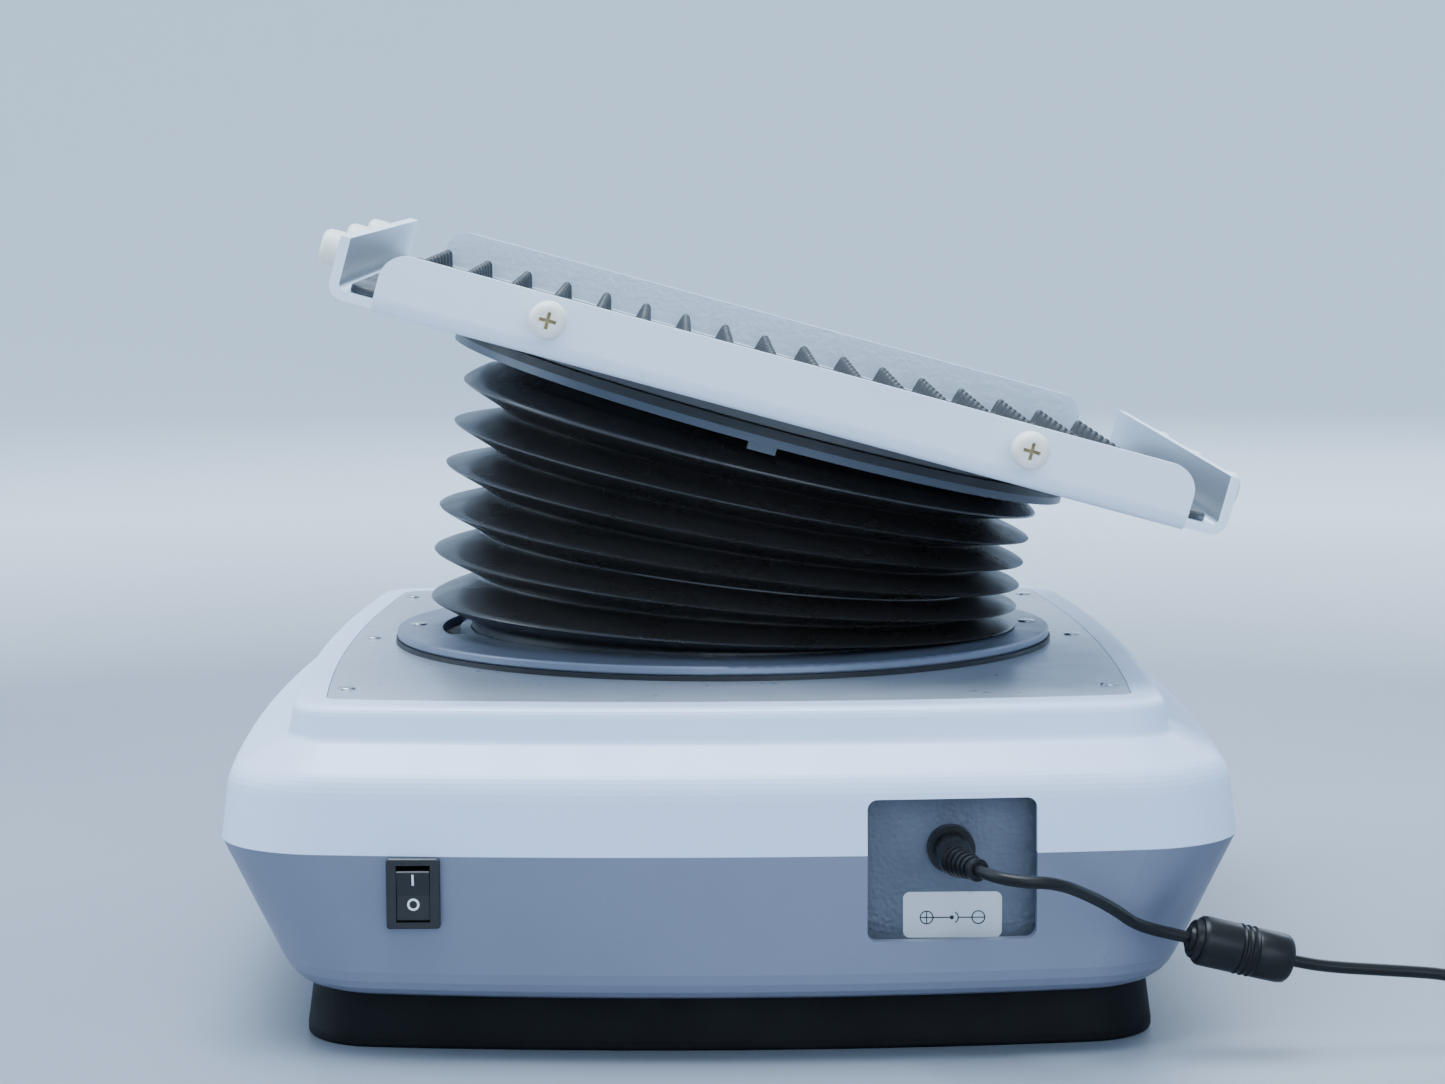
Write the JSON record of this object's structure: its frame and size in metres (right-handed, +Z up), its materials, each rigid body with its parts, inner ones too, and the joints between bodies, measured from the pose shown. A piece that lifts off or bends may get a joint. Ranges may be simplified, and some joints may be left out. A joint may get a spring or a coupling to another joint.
{
  "type": "nutating platform shaker",
  "caption": "Bench platform shaker: a shallow tray with a pegged rubber mat tilts round a vertical drive inside a rubber bellows.",
  "frame": {"origin": "on the table under the vertical drive axis, at the middle of the base's underside", "axes": "+Z up along the drive axis; -Y is the rear with the power switch and the inlet; +Y is the operator's side"},
  "size_m": [0.4633, 0.4067, 0.2462],
  "materials": {
    "housing_white": "satin moulded",
    "housing_grey": "fine metallic paint",
    "black_plastic": "moulded",
    "black_rubber": "satin",
    "deck_paint": "fine textured powder coat",
    "ring_grey": "satin",
    "steel": "machined",
    "aluminium": "machined",
    "nylon": "natural nylon",
    "tray_white": "orange-peel powder coat",
    "mat_rubber": "matt",
    "circuit_board": "solder mask",
    "display_glass": "clear window",
    "label": "printed film",
    "lead_black": "satin PVC"
  },
  "bodies": {
    "base": {"foot_pad": "black_rubber", "base_pan": "black_plastic", "lower_housing": "housing_grey", "upper_housing": "housing_white", "deck_plate": "deck_paint", "deck_screws": "steel", "ring_gasket": "black_rubber", "base_ring": "ring_grey", "standoffs": "steel", "chassis_plate": "steel", "bearing_housing": "aluminium", "main_bearings": "steel", "housing_screws": "steel", "motor_screws": "steel", "gear_motor": "steel", "drive_belt": "black_rubber", "control_board": "circuit_board", "board_parts": "black_plastic", "switch_body": "black_plastic", "inlet_pocket": "housing_grey", "dc_jack": "black_plastic", "jack_nut": "steel", "inlet_label": "label", "control_panel": "black_plastic", "display_window": "display_glass", "display_module": "circuit_board", "encoders": "steel", "key_switch": "black_plastic", "dc_plug": "lead_black", "lead_to_ferrite": "lead_black", "ferrite_bead": "lead_black", "lead_to_coil": "lead_black", "lead_coil": "lead_black", "lead_tail": "lead_black", "adapter_base": "black_plastic", "adapter_cover": "black_plastic", "adapter_inlet": "black_plastic", "adapter_boot": "lead_black"},
    "rotor": {"drive_shaft": "steel", "driven_pulley": "aluminium", "inclined_hub": "aluminium", "counterweight": "steel", "journal_cap": "steel", "bellows": "black_rubber"},
    "tray": {"tray_hub": "aluminium", "hub_bearings": "steel", "bearing_spacer": "aluminium", "mounting_disc": "aluminium", "top_ring": "ring_grey", "top_gasket": "black_rubber", "tray_pan": "tray_white", "tray_screws": "steel", "peg_mat": "mat_rubber", "flange_screws": "nylon"},
    "motor_rotor": {"motor_shaft": "steel", "motor_pulley": "aluminium"},
    "power_rocker": {"rocker": "black_plastic"},
    "speed_control": {"speed_knob": "black_plastic"},
    "timer_control": {"timer_knob": "black_plastic"},
    "start_button": {"start_key": "black_plastic"}
  },
  "joints": [
    {"name": "drive_spin", "type": "hinge", "parent": "base", "child": "rotor", "pos_m": [0, 0, 0.1], "axis": [0, 0, 1], "continuous": true},
    {"name": "tray_nutation", "type": "hinge", "parent": "rotor", "child": "tray", "pos_m": [0, 0, 0.1337], "axis": [0.2651, -0.0242, 0.9639], "continuous": true},
    {"name": "motor_spin", "type": "hinge", "parent": "base", "child": "motor_rotor", "pos_m": [0, 0.096, 0.04], "axis": [0, 0, 1], "continuous": true},
    {"name": "power_rocker_tilt", "type": "hinge", "parent": "base", "child": "power_rocker", "pos_m": [-0.092, -0.1724, 0.051], "axis": [1, 0, 0], "range_deg": [-14, 0]},
    {"name": "speed_turn", "type": "hinge", "parent": "base", "child": "speed_control", "pos_m": [-0.008, 0.19, 0.059], "axis": [0, -1, 0], "range_deg": [0, 270]},
    {"name": "timer_turn", "type": "hinge", "parent": "base", "child": "timer_control", "pos_m": [-0.042, 0.19, 0.059], "axis": [0, -1, 0], "range_deg": [0, 270]},
    {"name": "start_press", "type": "slide", "parent": "base", "child": "start_button", "axis": [0, -1, 0], "range_m": [0, 0.001], "stiffness_N_per_m": 900}
  ],
  "couplings": [
    {"joint": "tray_nutation", "follows": "drive_spin", "ratio": -1},
    {"joint": "motor_spin", "follows": "drive_spin", "ratio": 3}
  ]
}
